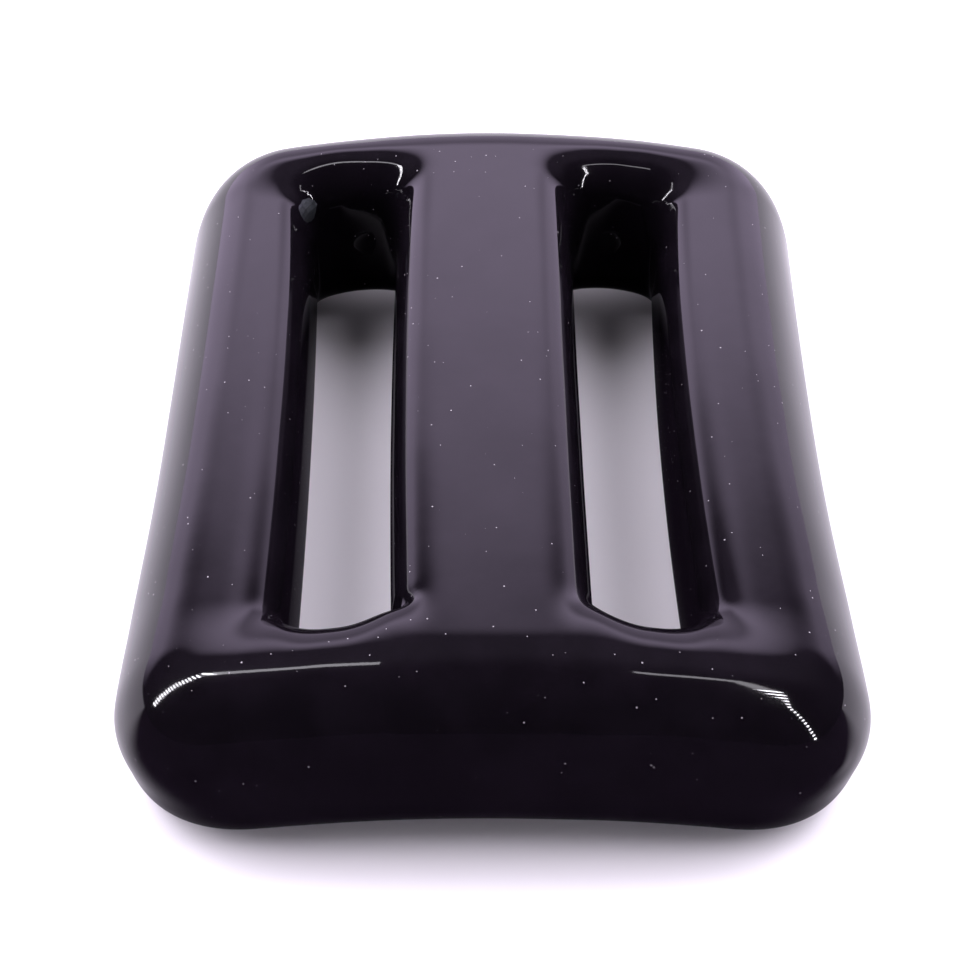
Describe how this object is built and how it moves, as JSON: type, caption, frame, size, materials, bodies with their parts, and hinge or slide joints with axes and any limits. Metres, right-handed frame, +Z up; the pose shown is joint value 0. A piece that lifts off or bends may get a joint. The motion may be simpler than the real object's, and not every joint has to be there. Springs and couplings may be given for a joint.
{
  "type": "dive belt weight",
  "caption": "Cast lead weight dip-coated in glossy black vinyl, curved to the hip, with two slots that lace onto a 50 mm webbing belt.",
  "frame": {"origin": "middle of the footprint, at the height of the two feet that it rests on", "axes": "+X along the belt, +Y along the slots and across the belt, +Z up and away from the wearer"},
  "size_m": [0.0662, 0.0798, 0.0218],
  "materials": {
    "black_vinyl": "glossy dip-coated vinyl",
    "cast_lead": "dull grey as-cast lead",
    "touch_up_vinyl": "brushed-on liquid vinyl, a little duller"
  },
  "bodies": {
    "root": {"vinyl_coating": "black_vinyl", "lead_core": "cast_lead", "touch_up_dab_left": "touch_up_vinyl", "touch_up_dab_right": "touch_up_vinyl"}
  },
  "joints": []
}
